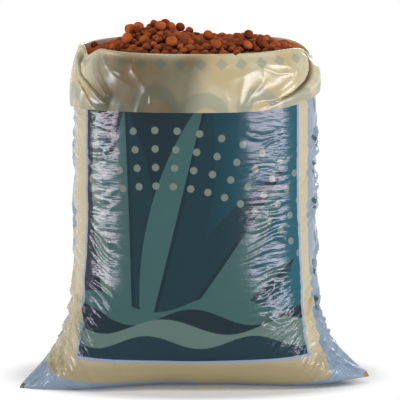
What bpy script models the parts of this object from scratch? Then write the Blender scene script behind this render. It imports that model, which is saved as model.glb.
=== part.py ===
"""An open film bag of fired clay pebbles, standing on its own weight.

The bag is one tube of film: a flat bottom seam with two pointed corners, a round body, and a mouth
folded outwards into a cuff. It is heaped with round clay pebbles. Metres, +Z up, the bag's front
faces -Y, and the origin is under the middle of its base.
"""

import math

import bmesh
import bpy
import numpy as np
from mathutils import Euler, Matrix, Vector
from mathutils.bvhtree import BVHTree
from mathutils.geometry import delaunay_2d_cdt

# Film tube
flat_width = 0.500
film_gauge = 0.0002
waist_width = 0.349
waist_depth = 0.262
mouth_width = 0.326
mouth_depth = 0.250
rim_height = 0.483
neck_length = 0.090
base_radius = 0.068
belly_bulge = 0.005
belly_height = 0.150
belly_spread = 0.075

# Powers that shape the cross section: a rounded oval, drawn out into a pointed lens at the floor
across_power = 0.90
depth_power = 0.88
lens_power = 1.8

# Bottom corners, which stand out past the pebbles as flat ears and are swept forwards
ear_rise = 0.055
ear_fall_power = 1.4
ear_root = 0.030
ear_top = 0.190
left_ear_sweep = 0.095
right_ear_sweep = 0.064
right_ear_lift = 0.010

# Places round the tube are turns: 0 is the front's middle, 0.25 the right corner, 0.5 the back
right_corner = 0.25
left_corner = 0.75

# Rim
rim_tilt = 0.006
shoulder_rise = 0.004
right_shoulder = 0.17
left_shoulder = 0.82
shoulder_spread = 0.05
right_corner_dip = 0.0145
right_dip_spread = 0.06
left_corner_dip = 0.002
left_dip_place = 0.70

# Cuff folded down outside the rim
cuff_drop = 0.087
fold_radius = 0.0025
cuff_swell = 0.005
cuff_rounding = 0.15
right_hem_rise = 0.008
pleat_step = 0.006
right_pleat_top = 0.232
right_pleat_bottom = 0.132
right_pleat_length = 0.06
pleat_sharpness = 0.012
left_pleat_top = 0.770
left_pleat_bottom = 0.830
left_pleat_height = 0.004
left_pleat_spread = 0.022
dent_depth = 0.003
dent_places = ((0.085, 0.45), (0.905, 0.60))
dent_spread = (0.035, 0.28)

# Gathers down both sides, where the film is slack
gather_height = 0.0035
gather_pitch = 0.065
gather_slant = 0.25
gather_reach = 0.075
gather_bottom = 0.060
gather_top = 0.385
gather_fade = 0.055

# Heap of pebbles
pebble_smallest = 0.0095
pebble_largest = 0.0190
small_pebble_bias = 1.4
pebble_flattening = 0.10
pebble_lumps = 0.03
packing = 0.93
packing_rounds = 60
packing_speed = 0.35
place_scatter = 0.3
height_scatter = 0.0022
wall_slack = 0.0015
seat_gap = 0.0003
corner_void = 0.035
fill_edge_drop = 0.011
fill_rise = 0.022
left_heap_height = 0.015
left_heap_place = (-0.060, 0.010)
left_heap_spread = (0.045, 0.070)
right_heap_height = 0.006
right_heap_place = (0.085, 0.035)
right_heap_spread = (0.060, 0.060)
loose_on_left_heap = 19
loose_elsewhere = 8
loose_scatter = 0.62
hollows_tried = 60

# Fineness of the meshes
film_columns = 40
column_crowding = 0.35
base_rows = (0.0, 0.06, 0.20, 0.42, 0.68)
gather_rows = 15
neck_rows = 3
fold_steps = 3
cuff_rows = 6
straight_above = 0.170
straight_rows = 4
dome_sides = 4
dome_reach = 0.84
dome_margin = 0.0004
drop_step = 0.001
drop_halvings = 8
sharp_edge = math.radians(50)

film_colour = (0.62, 0.56, 0.42, 1.0)
clay_colour = (0.26, 0.085, 0.045, 1.0)


def ease(t):
    """0 before t = 0, 1 after t = 1, and a smooth step between."""
    t = np.clip(t, 0.0, 1.0)
    return t * t * (3 - 2 * t)


def hill(offset, spread):
    """A round hump, 1 at its middle."""
    return np.exp(-((offset / spread) ** 2))


def turns_from(fraction, place):
    """Signed way round the tube from a place, in turns."""
    return (fraction - place + 0.5) % 1.0 - 0.5


# The tube's cross section at a height

def ear_share(z):
    """1 on the floor, where the tube is a flat lens, and 0 where it is round."""
    return math.exp(-((max(z, 0.0) / ear_rise) ** ear_fall_power))


def neck_share(z):
    return ease((z - rim_height + neck_length) / neck_length)


def half_width(z):
    waist = waist_width / 2
    ear = (flat_width / 2 - waist) * ear_share(z)
    return waist + ear - (waist - mouth_width / 2) * neck_share(z)


def half_depth(z):
    belly = waist_depth / 2 + belly_bulge * hill(z - belly_height, belly_spread)
    neck = (waist_depth - mouth_depth) / 2 * neck_share(z)
    above_floor = max(0.0, 1 - z / base_radius)
    curl = base_radius * (1 - math.sqrt(1 - above_floor * above_floor))
    return belly - neck - curl


def column_places():
    """Places of the columns round the tube, closer together at the sides."""
    turns = np.arange(film_columns) / film_columns
    return turns + column_crowding * np.sin(4 * np.pi * turns) / (4 * np.pi)


def section(z, places):
    """The closed outline at height z: points at the given shares of its length, and outward normals."""
    deep = depth_power + (lens_power - depth_power) * ear_share(z)
    swing = np.linspace(0, np.pi / 2, 241)
    x = half_width(z) * np.sin(swing) ** across_power
    y = half_depth(z) * np.clip(np.cos(swing), 0, 1) ** deep
    length = np.concatenate([[0], np.cumsum(np.hypot(np.diff(x), np.diff(y)))])
    quarters = places * 4 % 4
    side = np.minimum(quarters.astype(int), 3)
    part = quarters - side
    part = np.where(side % 2 == 1, 1 - part, part) * length[-1]
    px = np.interp(part, length, x) * np.where(side < 2, 1, -1)
    py = np.interp(part, length, y) * np.where((side == 0) | (side == 3), -1, 1)
    points = np.stack([px, py], axis=1)
    along = np.roll(points, -1, axis=0) - np.roll(points, 1, axis=0)
    along /= np.linalg.norm(along, axis=1)[:, None]
    return points, np.stack([along[:, 1], -along[:, 0]], axis=1)


# How far the film stands off the smooth tube

def gather(places, z):
    """Slack film buckled outwards down the two sides, in slanting waves."""
    from_side = np.minimum(abs(turns_from(places, right_corner)), abs(turns_from(places, left_corner)))
    upright = ease((z - gather_bottom) / gather_fade) * ease((gather_top - z) / gather_fade)
    lean = abs(turns_from(places, 0.0)) * gather_slant
    wave = 0.5 + 0.5 * np.cos(2 * math.pi * (z + lean) / gather_pitch)
    return gather_height * hill(from_side, gather_reach) * upright * wave


def rim_lift(places):
    """The rim is not level: low in front, high behind, up at both shoulders, down at the corners."""
    tilt = rim_tilt * np.cos(2 * math.pi * places)
    right = hill(turns_from(places, right_shoulder), shoulder_spread)
    left = hill(turns_from(places, left_shoulder), shoulder_spread)
    right_dip = right_corner_dip * hill(turns_from(places, right_corner), right_dip_spread)
    left_dip = left_corner_dip * hill(turns_from(places, left_dip_place), shoulder_spread)
    return shoulder_rise * (left + right) - tilt - right_dip - left_dip


def cuff_stand(places, share):
    """Gap from the body to the folded cuff. share is 0 at the rim and 1 at the hem."""
    swell = cuff_swell * math.sin(math.pi * share ** 0.8)
    right_pleat = right_pleat_top + (right_pleat_bottom - right_pleat_top) * ease(share * 2 - 1)
    behind = right_pleat - turns_from(places, 0.0)
    fall = np.exp(-np.clip(behind, 0, None) / right_pleat_length)
    step = pleat_step * fall * ease(behind / pleat_sharpness)
    left_pleat = left_pleat_top + (left_pleat_bottom - left_pleat_top) * share
    fold = left_pleat_height * hill(turns_from(places, left_pleat), left_pleat_spread)
    dents = sum(
        hill(turns_from(places, place), dent_spread[0]) * hill(share - down, dent_spread[1])
        for place, down in dent_places
    )
    return 2 * fold_radius + (swell + step + fold - dent_depth * dents) * ease(share / cuff_rounding)


# The film

def body_heights():
    """Heights of the film's rows: close together in the curve of the base, even over the gathers."""
    low = [base_radius * share for share in base_rows]
    gathers = np.linspace(gather_bottom, gather_top, gather_rows)
    neck = np.linspace(gather_top, rim_height - fold_radius, neck_rows + 1)[1:]
    return [*low, *gathers, *neck]


def settle(points):
    """Sweeps the bottom corners forwards and lifts the right one off the floor."""
    moved = np.array(points, float)
    out = ease((np.abs(moved[..., 0]) - ear_root) / (flat_width / 2 - ear_root))
    share = out * ease(1 - moved[..., 2] / ear_top)
    left = moved[..., 0] < 0
    moved[..., 1] -= np.where(left, left_ear_sweep, right_ear_sweep) * share
    moved[..., 2] += np.where(left, 0.0, right_ear_lift) * share ** 4
    return moved


def tube_row(z, places, slack):
    points, out = section(z, places)
    flat = points + out * (gather(places, z) * slack)[:, None]
    return np.column_stack([flat, z + rim_lift(places) * neck_share(z)])


def film_rows(places):
    """The printed face, row by row: up the body, over the rim and down the cuff to the hem."""
    rows = [tube_row(z, places, 1.0) for z in body_heights()]
    top = rim_height - fold_radius
    crest, out = section(top, places)
    lift = rim_lift(places)
    for step in range(1, fold_steps):
        angle = math.pi * step / fold_steps
        away = fold_radius * (1 - math.cos(angle))
        up = fold_radius * math.sin(angle)
        rows.append(np.column_stack([crest + out * away, top + up + lift]))
    hem_lift = right_hem_rise * hill(turns_from(places, right_corner), shoulder_spread)
    for step in range(cuff_rows + 1):
        share = step / cuff_rows
        z = top - (cuff_drop - fold_radius) * share
        points, out = section(z, places)
        flat = points + out * cuff_stand(places, share)[:, None]
        rows.append(np.column_stack([flat, z + lift * (1 - share) + hem_lift * share]))
    return np.array(rows)


def face_normals(rows):
    """Unit normals of a grid of rows that closes on itself, pointing out of the printed face."""
    around = np.roll(rows, -1, axis=1) - np.roll(rows, 1, axis=1)
    upward = np.gradient(rows, axis=0)
    normals = np.cross(around, upward)
    return normals / np.linalg.norm(normals, axis=2)[..., None]


def grid_faces(rows, start, flip):
    """Triangles of a grid of rows that closes on itself, each cell cut along its shorter diagonal.

    The film's inner face is numbered from the printed face's rows, so both are cut alike and never
    cross in the thin film.
    """
    faces = []
    for row in range(len(rows) - 1):
        for column in range(film_columns):
            beside = (column + 1) % film_columns
            low, high = start + row * film_columns, start + (row + 1) * film_columns
            cell = [low + column, low + beside, high + beside, high + column]
            rising = np.linalg.norm(rows[row + 1, beside] - rows[row, column])
            falling = np.linalg.norm(rows[row + 1, column] - rows[row, beside])
            if falling < rising:
                cell = cell[1:] + cell[:1]
            halves = [cell[:3], [cell[0], cell[2], cell[3]]]
            faces += [half[::-1] if flip else half for half in halves]
    return faces


def base_faces(start, flip):
    """Closes a ring on the floor with strips from its front edge straight back to its rear edge."""
    faces = []
    half = film_columns // 2
    for column in range(-half // 2, half // 2):
        corners = [column, column + 1, half - column - 1, half - column]
        face = list(dict.fromkeys(start + corner % film_columns for corner in corners))
        faces.append(face if flip else face[::-1])
    return faces


def new_object(name, points, faces, colour, roughness):
    mesh = bpy.data.meshes.new(name)
    mesh.from_pydata([tuple(point) for point in points], [], faces)
    work = bmesh.new()
    work.from_mesh(mesh)
    bmesh.ops.recalc_face_normals(work, faces=work.faces)
    work.to_mesh(mesh)
    work.free()
    mesh.shade_smooth()
    mesh.set_sharp_from_angle(angle=sharp_edge)
    material = bpy.data.materials.new(f"{name}_finish")
    material.use_nodes = True
    shader = material.node_tree.nodes["Principled BSDF"]
    shader.inputs["Base Color"].default_value = colour
    shader.inputs["Roughness"].default_value = roughness
    shader.inputs["Metallic"].default_value = 0.0
    mesh.materials.append(material)
    made = bpy.data.objects.new(name, mesh)
    bpy.context.scene.collection.objects.link(made)
    return made


def make_film():
    printed = film_rows(column_places())
    inner = printed - face_normals(printed) * film_gauge
    inner[0, :, 2] = film_gauge
    points = np.concatenate([settle(printed).reshape(-1, 3), settle(inner).reshape(-1, 3)])
    inside = len(printed) * film_columns
    faces = grid_faces(settle(printed), 0, False) + grid_faces(settle(printed), inside, True)
    faces += base_faces(0, False) + base_faces(inside, True)
    hem, hem_inside = inside - film_columns, 2 * inside - film_columns
    for column in range(film_columns):
        beside = (column + 1) % film_columns
        faces.append([hem + column, hem + beside, hem_inside + beside, hem_inside + column])
    return new_object("bag_film", points, faces, film_colour, 0.25)


# The pebbles

def mouth_share(x, y, room=0.0):
    """0 in the middle of the mouth and 1 at its outline, or at one drawn in by the given room."""
    width, depth = mouth_width / 2 - room, mouth_depth / 2 - room
    power = (abs(x / width) ** (2 / across_power) + abs(y / depth) ** (2 / depth_power))
    return power ** (across_power / 2)


def heap_height(x, y):
    """Height of the pebbles' tops at a place in the mouth."""
    level = rim_height - fill_edge_drop + fill_rise * (1 - min(1.0, mouth_share(x, y)) ** 3)
    left = hill(x - left_heap_place[0], left_heap_spread[0])
    left *= hill(y - left_heap_place[1], left_heap_spread[1])
    right = hill(x - right_heap_place[0], right_heap_spread[0])
    right *= hill(y - right_heap_place[1], right_heap_spread[1])
    return level + left_heap_height * left + right_heap_height * right


def spread_apart(spots, radii):
    """Pushes overlapping pebbles apart and keeps them inside the mouth."""
    wanted = (radii[:, None] + radii[None]) * packing
    others = 1 - np.eye(len(spots))
    for _ in range(packing_rounds):
        apart = spots[:, None] - spots[None]
        distance = np.linalg.norm(apart, axis=2) + np.eye(len(spots))
        push = np.clip(wanted - distance, 0, None) * others
        spots += (apart / distance[..., None] * push[..., None]).sum(axis=1) * packing_speed
        for index, (x, y) in enumerate(spots):
            spots[index] /= max(1.0, mouth_share(x, y, radii[index] + wall_slack))
    return spots


def packed_pebbles():
    """The heap's outer layer: (x, y, z, radius) of each pebble."""
    chance = np.random.default_rng(11)
    pitch = (pebble_smallest + pebble_largest) / 2
    places = []
    for row in range(-20, 21):
        for column in range(-20, 21):
            x = (column + 0.5 * (row % 2)) * pitch
            y = row * pitch * math.sqrt(3) / 2
            if mouth_share(x, y, pitch / 2) < 1:
                places.append((x, y))
    spots = np.array(places) + chance.uniform(-place_scatter, place_scatter, (len(places), 2)) * pitch
    sizes = chance.uniform(0, 1, len(spots)) ** small_pebble_bias
    radii = (pebble_smallest + (pebble_largest - pebble_smallest) * sizes) / 2
    scatter = chance.uniform(-height_scatter, height_scatter, len(spots))
    return [
        (x, y, heap_height(x, y) - radius + shift, radius)
        for (x, y), radius, shift in zip(spread_apart(spots, radii), radii, scatter)
    ]


def dome_points(pebbles):
    """Points on the upper side of each packed pebble, leaving out those inside a neighbour."""
    chance = np.random.default_rng(5)
    data = np.array(pebbles)
    found = []
    for index, (x, y, z, radius) in enumerate(pebbles):
        turn = chance.uniform(0, 2 * math.pi)
        reach = dome_reach * radius
        height = math.sqrt(radius * radius - reach * reach)
        ring = [(x, y, z + radius)]
        for side in range(dome_sides):
            angle = turn + 2 * math.pi * side / dome_sides
            ring.append((x + reach * math.cos(angle), y + reach * math.sin(angle), z + height))
        others = np.delete(data, index, axis=0)
        for point in ring:
            aside = (others[:, 0] - point[0]) ** 2 + (others[:, 1] - point[1]) ** 2
            over = others[:, 2] + np.sqrt(np.clip(others[:, 3] ** 2 - aside, 0, None))
            if not ((aside < others[:, 3] ** 2) & (over > point[2] - dome_margin)).any():
                found.append(point)
    return found


def make_fill(pebbles):
    """The pebbles as one mass that fills the tube, with the heap's outer layer as domes on top."""
    places = column_places()
    edge = rim_height - fill_edge_drop - pebble_smallest
    curved = [z for z in body_heights() if z < straight_above]
    heights = curved + list(np.linspace(straight_above, edge, straight_rows))
    tube = np.array([tube_row(z, places, 0.0) for z in heights])
    inside = tube - face_normals(tube) * (film_gauge + wall_slack)
    inside[0, :, 2] = film_gauge + seat_gap
    for row, z in enumerate(heights):
        share = np.abs(inside[row, :, 0]) / half_width(z)
        inside[row, :, 0] -= np.sign(inside[row, :, 0]) * corner_void * ear_share(z) * share ** 3
    points = [tuple(point) for point in settle(inside).reshape(-1, 3)]
    faces = grid_faces(settle(inside), 0, False) + base_faces(0, False)
    rim = (len(heights) - 1) * film_columns
    top = points[rim:] + dome_points(pebbles)
    outline = [list(range(film_columns))]
    plan = [Vector(point[:2]) for point in top]
    placed, _, triangles, sources, _, _ = delaunay_2d_cdt(plan, [], outline, 1, 1e-6)
    index = []
    for place, source in zip(placed, sources):
        if source[0] < film_columns:
            index.append(rim + source[0])
        else:
            index.append(len(points))
            points.append((place.x, place.y, top[source[0]][2]))
    faces += [[index[corner] for corner in face] for face in triangles]
    return new_object("pebble_fill", points, faces, clay_colour, 0.9)


def pebble_mesh(radius, chance):
    """A slightly flattened, slightly lumpy ball, with no point further out than its radius."""
    work = bmesh.new()
    bmesh.ops.create_icosphere(work, subdivisions=2, radius=radius)
    flattened = 1 - chance.uniform(0, pebble_flattening)
    squash = Matrix.Diagonal([1.0, flattened, flattened * flattened, 1.0])
    turn = Euler(chance.uniform(0, 2 * math.pi, 3)).to_matrix().to_4x4()
    for vertex in work.verts:
        vertex.co *= 1 - chance.uniform(0, pebble_lumps)
    bmesh.ops.transform(work, matrix=turn @ squash, verts=work.verts)
    points = [vertex.co.copy() for vertex in work.verts]
    faces = [[vertex.index for vertex in face.verts] for face in work.faces]
    work.free()
    return points, faces


def surface_tree(points, faces, offset=(0, 0, 0)):
    return BVHTree.FromPolygons([point + Vector(offset) for point in points], faces)


def rest_height(points, faces, x, y, start, below):
    """Height at which a pebble let down from above (x, y) comes to rest on what is below."""

    def touches(z):
        ball = surface_tree(points, faces, (x, y, z))
        return any(ball.overlap(tree) for tree in below)

    high = start + pebble_largest
    while not touches(high - drop_step):
        high -= drop_step
    low = high - drop_step
    for _ in range(drop_halvings):
        middle = (low + high) / 2
        if touches(middle):
            low = middle
        else:
            high = middle
    return high + seat_gap


def loose_place(radius, on_heap, lying, chance):
    """The deepest of the hollows tried at random, as (x, y, z)."""
    data = np.array(lying)
    found = []
    while len(found) < hollows_tried:
        if on_heap:
            x, y = chance.normal(left_heap_place, np.array(left_heap_spread) * loose_scatter)
        else:
            x, y = chance.uniform(-0.5, 0.5, 2) * (mouth_width, mouth_depth)
        if mouth_share(x, y, 1.6 * radius) > 1:
            continue
        aside = (data[:, 0] - x) ** 2 + (data[:, 1] - y) ** 2
        near = aside < (radius + data[:, 3]) ** 2
        z = (data[near, 2] + np.sqrt((radius + data[near, 3]) ** 2 - aside[near])).max()
        found.append((z - heap_height(x, y), x, y, z))
    return min(found)[1:]


def make_loose(pebbles, fill):
    """Separate pebbles lying in the hollows of the heap, most of them on its left peak."""
    chance = np.random.default_rng(23)
    mesh = fill.data
    below = [surface_tree([v.co for v in mesh.vertices], [list(p.vertices) for p in mesh.polygons])]
    lying = list(pebbles)
    for number in range(loose_on_left_heap + loose_elsewhere):
        radius = chance.uniform(pebble_smallest * 1.1, pebble_largest * 0.92) / 2
        x, y, z = loose_place(radius, number < loose_on_left_heap, lying, chance)
        points, faces = pebble_mesh(radius, chance)
        z = rest_height(points, faces, x, y, z, below)
        below.append(surface_tree(points, faces, (x, y, z)))
        lying.append((x, y, z, radius))
        made = new_object(f"pebble_{number + 1:02d}", points, faces, clay_colour, 0.9)
        made.location = (x, y, z)


def main():
    for old in list(bpy.data.objects):
        bpy.data.objects.remove(old)
    make_film()
    pebbles = packed_pebbles()
    make_loose(pebbles, make_fill(pebbles))


main()
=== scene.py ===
import math

import bmesh
import bpy
import numpy as np
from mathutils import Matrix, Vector


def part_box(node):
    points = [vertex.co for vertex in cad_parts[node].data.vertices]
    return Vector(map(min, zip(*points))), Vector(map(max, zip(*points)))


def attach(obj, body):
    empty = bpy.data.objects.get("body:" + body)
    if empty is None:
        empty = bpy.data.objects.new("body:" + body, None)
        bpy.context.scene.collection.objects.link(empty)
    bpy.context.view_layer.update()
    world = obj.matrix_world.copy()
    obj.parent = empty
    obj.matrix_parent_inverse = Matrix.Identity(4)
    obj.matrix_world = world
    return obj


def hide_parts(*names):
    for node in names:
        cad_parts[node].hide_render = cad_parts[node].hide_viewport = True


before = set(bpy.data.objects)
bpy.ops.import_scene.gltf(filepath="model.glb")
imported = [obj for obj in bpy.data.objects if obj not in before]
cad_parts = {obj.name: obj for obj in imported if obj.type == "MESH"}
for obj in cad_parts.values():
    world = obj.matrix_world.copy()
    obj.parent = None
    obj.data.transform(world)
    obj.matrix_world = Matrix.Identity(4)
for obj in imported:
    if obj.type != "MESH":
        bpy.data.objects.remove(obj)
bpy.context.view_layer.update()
print("frame loaded:", len(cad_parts), "CAD pieces")


# Places round the bag are turns: 0 is the middle of the front, 0.25 the right corner, 0.5 the back
def ease(t):
    t = np.clip(t, 0.0, 1.0)
    return t * t * (3 - 2 * t)


def hill(offset, spread):
    return np.exp(-((offset / spread) ** 2))


def turnsFrom(places, place):
    return (places - place + 0.5) % 1.0 - 0.5


# ---- the bag's tube, the same form as the CAD film, in metres
tube = {
    "flatWidth": 0.500,
    "waistWidth": 0.349,
    "waistDepth": 0.262,
    "mouthWidth": 0.326,
    "mouthDepth": 0.250,
    "rimHeight": 0.483,
    "neckLength": 0.090,
    "baseRadius": 0.068,
    "bellyBulge": 0.005,
    "bellyHeight": 0.150,
    "bellySpread": 0.075,
    "acrossPower": 0.90,
    "depthPower": 0.88,
    "lensPower": 1.8,
    "earRise": 0.055,
    "earFallPower": 1.4,
    "earRoot": 0.030,
    "earTop": 0.190,
    "leftEarSweep": 0.095,
    "rightEarSweep": 0.064,
    "rightEarLift": 0.010,
}


def earShare(z):
    return math.exp(-((max(z, 0.0) / tube["earRise"]) ** tube["earFallPower"]))


def neckShare(z):
    return ease((z - tube["rimHeight"] + tube["neckLength"]) / tube["neckLength"])


def halfWidth(z):
    waist = tube["waistWidth"] / 2
    ear = (tube["flatWidth"] / 2 - waist) * earShare(z)
    return waist + ear - (waist - tube["mouthWidth"] / 2) * neckShare(z)


def halfDepth(z):
    belly = tube["waistDepth"] / 2 + tube["bellyBulge"] * hill(z - tube["bellyHeight"], tube["bellySpread"])
    neck = (tube["waistDepth"] - tube["mouthDepth"]) / 2 * neckShare(z)
    above = max(0.0, 1 - z / tube["baseRadius"])
    return belly - neck - tube["baseRadius"] * (1 - math.sqrt(1 - above * above))


def section(z, places):
    # outline at height z at the given turns, with its outward normals
    deep = tube["depthPower"] + (tube["lensPower"] - tube["depthPower"]) * earShare(z)
    swing = np.linspace(0, np.pi / 2, 481)
    x = halfWidth(z) * np.sin(swing) ** tube["acrossPower"]
    y = halfDepth(z) * np.clip(np.cos(swing), 0, 1) ** deep
    length = np.concatenate([[0], np.cumsum(np.hypot(np.diff(x), np.diff(y)))])

    def at(turns):
        quarters = turns * 4 % 4
        side = np.minimum(quarters.astype(int), 3)
        part = quarters - side
        part = np.where(side % 2 == 1, 1 - part, part) * length[-1]
        px = np.interp(part, length, x) * np.where(side < 2, 1, -1)
        py = np.interp(part, length, y) * np.where((side == 0) | (side == 3), -1, 1)
        return np.stack([px, py], axis=1)

    along = at(places + 0.004) - at(places - 0.004)
    along /= np.linalg.norm(along, axis=1)[:, None]
    return at(places), np.stack([along[:, 1], -along[:, 0]], axis=1)


def settle(points):
    # bottom corners swept forwards, the right one lifted a little off the floor
    moved = np.array(points, float)
    half = tube["flatWidth"] / 2
    out = ease((np.abs(moved[..., 0]) - tube["earRoot"]) / (half - tube["earRoot"]))
    share = out * ease(1 - moved[..., 2] / tube["earTop"])
    left = moved[..., 0] < 0
    moved[..., 1] -= np.where(left, tube["leftEarSweep"], tube["rightEarSweep"]) * share
    moved[..., 2] += np.where(left, 0.0, tube["rightEarLift"]) * share ** 4
    return moved


# ---- creases: each patch of slack film buckles in its own long ridges
# place and reach in turns; low, high, fade and pitch in metres; lean in degrees (0 runs level, plus runs
# down to the right); wander; rise in metres; seed
creases = [
    (-0.146, 0.028, 0.215, 0.42, 0.04, 0.0105, 8, 2.6, 0.00075, 3),
    (-0.140, 0.026, 0.235, 0.42, 0.04, 0.0190, -38, 2.6, 0.00050, 4),
    (-0.145, 0.032, 0.035, 0.235, 0.04, 0.0120, 30, 2.2, 0.00085, 8),
    (-0.120, 0.030, 0.035, 0.200, 0.05, 0.0240, 42, 2.0, 0.00110, 11),
    (-0.225, 0.045, 0.060, 0.40, 0.05, 0.0200, 14, 2.4, 0.00130, 5),
    (-0.240, 0.030, 0.050, 0.36, 0.06, 0.0215, 16, 1.8, 0.00270, 7),
    (0.108, 0.042, 0.225, 0.42, 0.04, 0.0130, -4, 3.0, 0.00050, 6),
    (0.118, 0.045, 0.060, 0.245, 0.04, 0.0130, -12, 2.6, 0.00080, 9),
    (0.120, 0.045, 0.035, 0.150, 0.04, 0.0120, -34, 2.2, 0.00075, 10),
    (0.215, 0.042, 0.050, 0.40, 0.05, 0.0190, -22, 2.4, 0.00230, 12),
    (0.240, 0.030, 0.050, 0.38, 0.06, 0.0215, -18, 1.8, 0.00290, 13),
    (-0.190, 0.036, 0.020, 0.13, 0.03, 0.0170, 52, 1.8, 0.00330, 14),
    (-0.232, 0.030, 0.004, 0.10, 0.02, 0.0110, -66, 2.0, 0.00260, 15),
    (0.222, 0.036, 0.004, 0.12, 0.02, 0.0150, 56, 2.0, 0.00380, 17),
    (0.196, 0.030, 0.030, 0.13, 0.03, 0.0160, -48, 1.8, 0.00320, 18),
    (-0.232, 0.026, 0.070, 0.24, 0.04, 0.0170, 30, 2.0, 0.00260, 30),
    (0.234, 0.026, 0.080, 0.24, 0.04, 0.0170, -34, 2.0, 0.00280, 31),
    (0.500, 0.190, 0.030, 0.42, 0.05, 0.0360, 10, 2.6, 0.00080, 20),
    (0.320, 0.060, 0.020, 0.40, 0.05, 0.0210, 22, 2.4, 0.00150, 24),
    (0.680, 0.060, 0.020, 0.40, 0.05, 0.0210, -22, 2.4, 0.00150, 27),
]
sideGather = dict(rise=0.0024, pitch=0.065, slant=0.25, reach=0.075, low=0.060, high=0.385, fade=0.055)


def drift(across, up, size, seed, count=7):
    # soft unevenness, about -1 to 1, in patches of the given size
    chance = np.random.default_rng(seed)
    field = np.zeros(np.broadcast(across, up).shape)
    for _ in range(count):
        angle = chance.uniform(0, 2 * math.pi)
        length = size * chance.uniform(1.2, 2.6)
        phase = chance.uniform(0, 2 * math.pi)
        field += np.cos(2 * math.pi * (up * math.cos(angle) + across * math.sin(angle)) / length + phase)
    return field / math.sqrt(count / 2) / 1.4


def ridges(across, up, pitch, lean, wander, seed):
    # long ridges with sharp crests that wander, swell and fade out
    angle = math.radians(lean)
    run = up * math.cos(angle) + across * math.sin(angle)
    along = across * math.cos(angle) - up * math.sin(angle)
    bend = wander * drift(along * 0.45, run, pitch * 1.6, seed) + 1.2 * drift(across, up, pitch * 5, seed + 200)
    crest = 1 - 2 * np.abs(np.sin(math.pi * run / pitch + bend / 2))
    strength = np.clip(0.55 + 0.75 * drift(along * 0.4, run, pitch * 1.8, seed + 100), 0, 1.4)
    return crest * strength


def creaseHeight(places, z):
    total = np.zeros(np.broadcast(places, z).shape)
    for place, reach, low, high, fade, pitch, lean, wander, rise, seed in creases:
        side = turnsFrom(places, place)
        upright = ease((z - low) / fade + 0.5) * ease((high - z) / fade + 0.5)
        total += rise * hill(side, reach) * upright * ridges(side, z, pitch, lean, wander, seed)
    return total


def pathDistance(across, up, path):
    # distance in metres to a line through the given points
    nearest = np.full(np.broadcast(across, up).shape, 9.0)
    for (x0, y0), (x1, y1) in zip(path, path[1:]):
        dx, dy = x1 - x0, y1 - y0
        share = np.clip(((across - x0) * dx + (up - y0) * dy) / (dx * dx + dy * dy), 0, 1)
        nearest = np.minimum(nearest, np.hypot(across - x0 - share * dx, up - y0 - share * dy))
    return nearest


def gatherHeight(places, z):
    g = sideGather
    fromSide = np.minimum(abs(turnsFrom(places, 0.25)), abs(turnsFrom(places, 0.75)))
    upright = ease((z - g["low"]) / g["fade"]) * ease((g["high"] - z) / g["fade"])
    lean = abs(turnsFrom(places, 0.0)) * g["slant"]
    wave = 0.5 + 0.5 * np.cos(2 * math.pi * (z + lean) / g["pitch"])
    return g["rise"] * hill(fromSide, g["reach"]) * upright * wave


# ---- rim and cuff
rim = {
    "tilt": 0.006,
    "shoulderRise": 0.004,
    "shoulders": (0.17, 0.82),
    "shoulderSpread": 0.05,
    "rightDip": 0.0145,
    "rightDipSpread": 0.06,
    "leftDip": 0.002,
    "leftDipPlace": 0.70,
    # where the fold opens at the corners: start, deepest, end (turns), depth
    "notches": (
        (-0.204, -0.186, -0.146, 0.013),
        (0.178, 0.206, 0.240, 0.003),
        (0.055, 0.060, 0.066, 0.0026),
    ),
}
cuff = {
    "drop": 0.087,
    "foldRadius": 0.0025,
    "swell": 0.005,
    "rounding": 0.15,
    "hemRise": 0.020,
    "hemRisePlace": 0.24,
    "hemRiseSpread": 0.09,
    "pleatStep": 0.0050,
    "pleatLength": 0.035,
    "pleatWidth": 0.0060,
    "pleatEasing": 1.8,
    "pleatOverlap": 0.0052,
    # place in turns, share of the way down, depth in metres, width in turns, height as a share
    "dents": (
        (0.108, 0.60, 0.0045, 0.026, 0.24),
        (-0.095, 0.60, 0.0030, 0.035, 0.28),
        (-0.130, 0.16, 0.0020, 0.014, 0.14),
    ),
}
# edges of the folds on the cuff: turns at shares of the way from rim to hem
foldEdges = {
    "right": ((0.0, 0.08, 0.39, 0.58, 0.74, 0.84, 1.0), (0.176, 0.182, 0.174, 0.162, 0.141, 0.113, 0.070)),
    "leftOuter": ((0.0, 0.11, 0.24, 0.37, 0.58, 0.95), (-0.214, -0.214, -0.210, -0.195, -0.175, -0.150)),
    "leftMiddle": ((0.0, 0.13, 0.34, 0.55, 0.86), (-0.193, -0.192, -0.180, -0.158, -0.126)),
    "leftInner": ((0.0, 0.13, 0.37, 0.71, 0.84), (-0.152, -0.151, -0.146, -0.123, -0.126)),
}
# raised tongues of film between two fold edges: left edge, right edge, where it ends, how far it stands out
tongues = [
    ("leftMiddle", "leftInner", 0.86, 0.0085),
    ("leftOuter", "leftMiddle", 0.98, 0.0050),
]
foldShape = {"edge": 0.0022, "groove": 0.0030, "grooveWidth": 0.0026, "lowSide": 0.40}
# behind the right fold's edge: a groove, then a soft swell; place and width in turns, height in metres
behindGroove = {"place": 0.009, "width": 0.0045, "height": 0.0055}
behindSwell = {"place": 0.039, "width": 0.022, "height": 0.0045}
# painted shade in the folds: edge, how far beside it in turns, width, strength
foldShadeLines = [
    ("right", 0.0125, 0.0065, 1.0),
    ("leftMiddle", 0.0, 0.0028, 0.75),
    ("leftOuter", 0.0, 0.0026, 0.65),
]
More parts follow.
